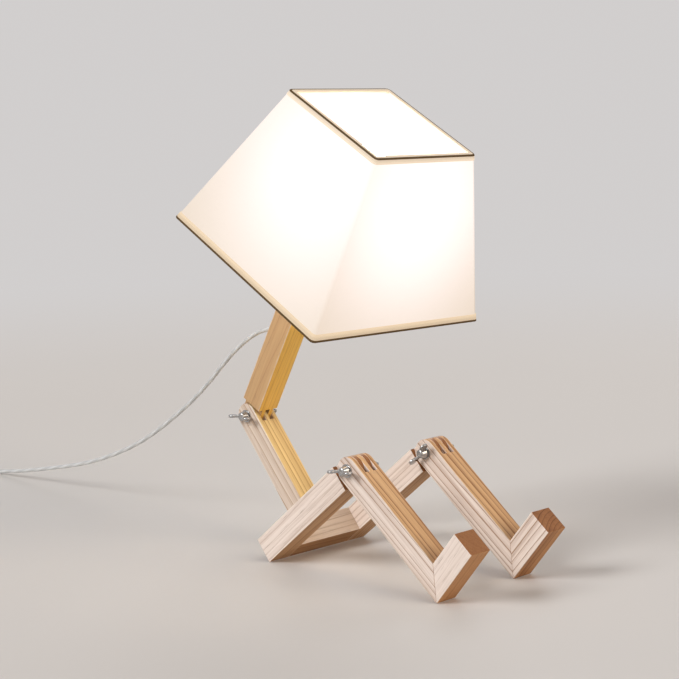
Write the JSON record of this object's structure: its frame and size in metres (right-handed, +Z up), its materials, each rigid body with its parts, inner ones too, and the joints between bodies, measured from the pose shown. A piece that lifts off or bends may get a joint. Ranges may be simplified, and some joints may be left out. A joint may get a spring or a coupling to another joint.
{
  "type": "robot-shaped desk lamp",
  "caption": "Sitting robot desk lamp of square pale timber with wing-screw joints and a tilted square cloth shade as its head.",
  "frame": {"origin": "centre of the lamp's footprint on the table, without the free cord", "axes": "+X the way the robot faces, +Y the robot's left, +Z up"},
  "size_m": [0.8162, 0.3622, 0.4286],
  "materials": {
    "timber": "satin",
    "timber_upper": "satin",
    "zinc_steel": "brushed",
    "brass": "satin",
    "white_plastic": "glossy",
    "white_wire": "satin",
    "shade_cloth": "matte",
    "hem_tape": "matte",
    "bulb_metal": "satin",
    "bulb_housing": "satin",
    "bulb_opal": "frosted",
    "clear_cord": "glossy",
    "switch_plastic": "glossy",
    "tie_plastic": "matte"
  },
  "bodies": {
    "seat": {"thigh_right": "timber", "thigh_left": "timber", "seat_crossbar": "timber", "seat_dowels": "timber", "torso_lower": "timber", "elbow_insert": "brass", "elbow_washer": "zinc_steel", "cord_lead": "clear_cord", "switch_base": "switch_plastic", "switch_cover": "switch_plastic", "switch_screws": "zinc_steel", "switch_contacts": "brass", "cord_tail": "clear_cord", "cord_coil": "clear_cord", "coil_tie": "tie_plastic", "cord_end": "clear_cord", "plug_body": "switch_plastic", "plug_blades": "brass"},
    "upper_body": {"torso_upper": "timber_upper", "neck_block": "timber_upper", "inner_lead": "clear_cord", "cord_sleeve": "clear_cord", "holder_tube": "brass", "holder_washer": "zinc_steel", "holder_cap": "white_plastic", "holder_sleeve": "white_plastic", "holder_insert": "white_plastic", "screw_shell": "brass", "centre_contact": "brass", "shade_ring_nut": "white_plastic", "shade_spider": "white_wire", "shade_top_wire": "white_wire", "shade_cloth": "shade_cloth", "shade_hem_bottom": "hem_tape", "shade_hem_top": "hem_tape"},
    "bulb": {"bulb_cap": "bulb_metal", "bulb_housing": "bulb_housing", "bulb_globe": "bulb_opal"},
    "leg_right": {"shin_right": "timber", "foot_right": "timber", "knee_insert_right": "brass", "knee_washer_right": "zinc_steel"},
    "leg_left": {"shin_left": "timber", "foot_left": "timber", "knee_insert_left": "brass", "knee_washer_left": "zinc_steel"},
    "elbow_screw": {"elbow_wing_screw": "zinc_steel"},
    "knee_screw_right": {"knee_wing_screw_right": "zinc_steel"},
    "knee_screw_left": {"knee_wing_screw_left": "zinc_steel"},
    "rocker": {"switch_rocker": "switch_plastic"}
  },
  "joints": [
    {"name": "elbow", "type": "hinge", "parent": "seat", "child": "upper_body", "pos_m": [-0.15619, 0, 0.11946], "axis": [0, -1, 0], "range_deg": [-10, 68], "deforming": ["cord_lead"]},
    {"name": "knee_right", "type": "hinge", "parent": "seat", "child": "leg_right", "pos_m": [0.02868, -0.05, 0.09932], "axis": [0, -1, 0], "range_deg": [-14, 78]},
    {"name": "knee_left", "type": "hinge", "parent": "seat", "child": "leg_left", "pos_m": [0.02868, 0.05, 0.09932], "axis": [0, -1, 0], "range_deg": [-14, 78]},
    {"name": "elbow_screw_turn", "type": "hinge", "parent": "seat", "child": "elbow_screw", "pos_m": [-0.15619, 0, 0.11946], "axis": [0, -1, 0], "range_deg": [0, 270]},
    {"name": "knee_screw_right_turn", "type": "hinge", "parent": "leg_right", "child": "knee_screw_right", "pos_m": [0.02868, -0.05, 0.09932], "axis": [0, -1, 0], "range_deg": [0, 270]},
    {"name": "knee_screw_left_turn", "type": "hinge", "parent": "leg_left", "child": "knee_screw_left", "pos_m": [0.02868, 0.05, 0.09932], "axis": [0, -1, 0], "range_deg": [0, 270]},
    {"name": "bulb_turn", "type": "hinge", "parent": "upper_body", "child": "bulb", "pos_m": [-0.04019, 0, 0.28955], "axis": [0.4848, 0, 0.8746], "range_deg": [0, 360]},
    {"name": "rocker_tilt", "type": "hinge", "parent": "seat", "child": "rocker", "pos_m": [-0.634, -0.098, 0.0118], "axis": [1, 0, 0], "range_deg": [0, 14]}
  ]
}
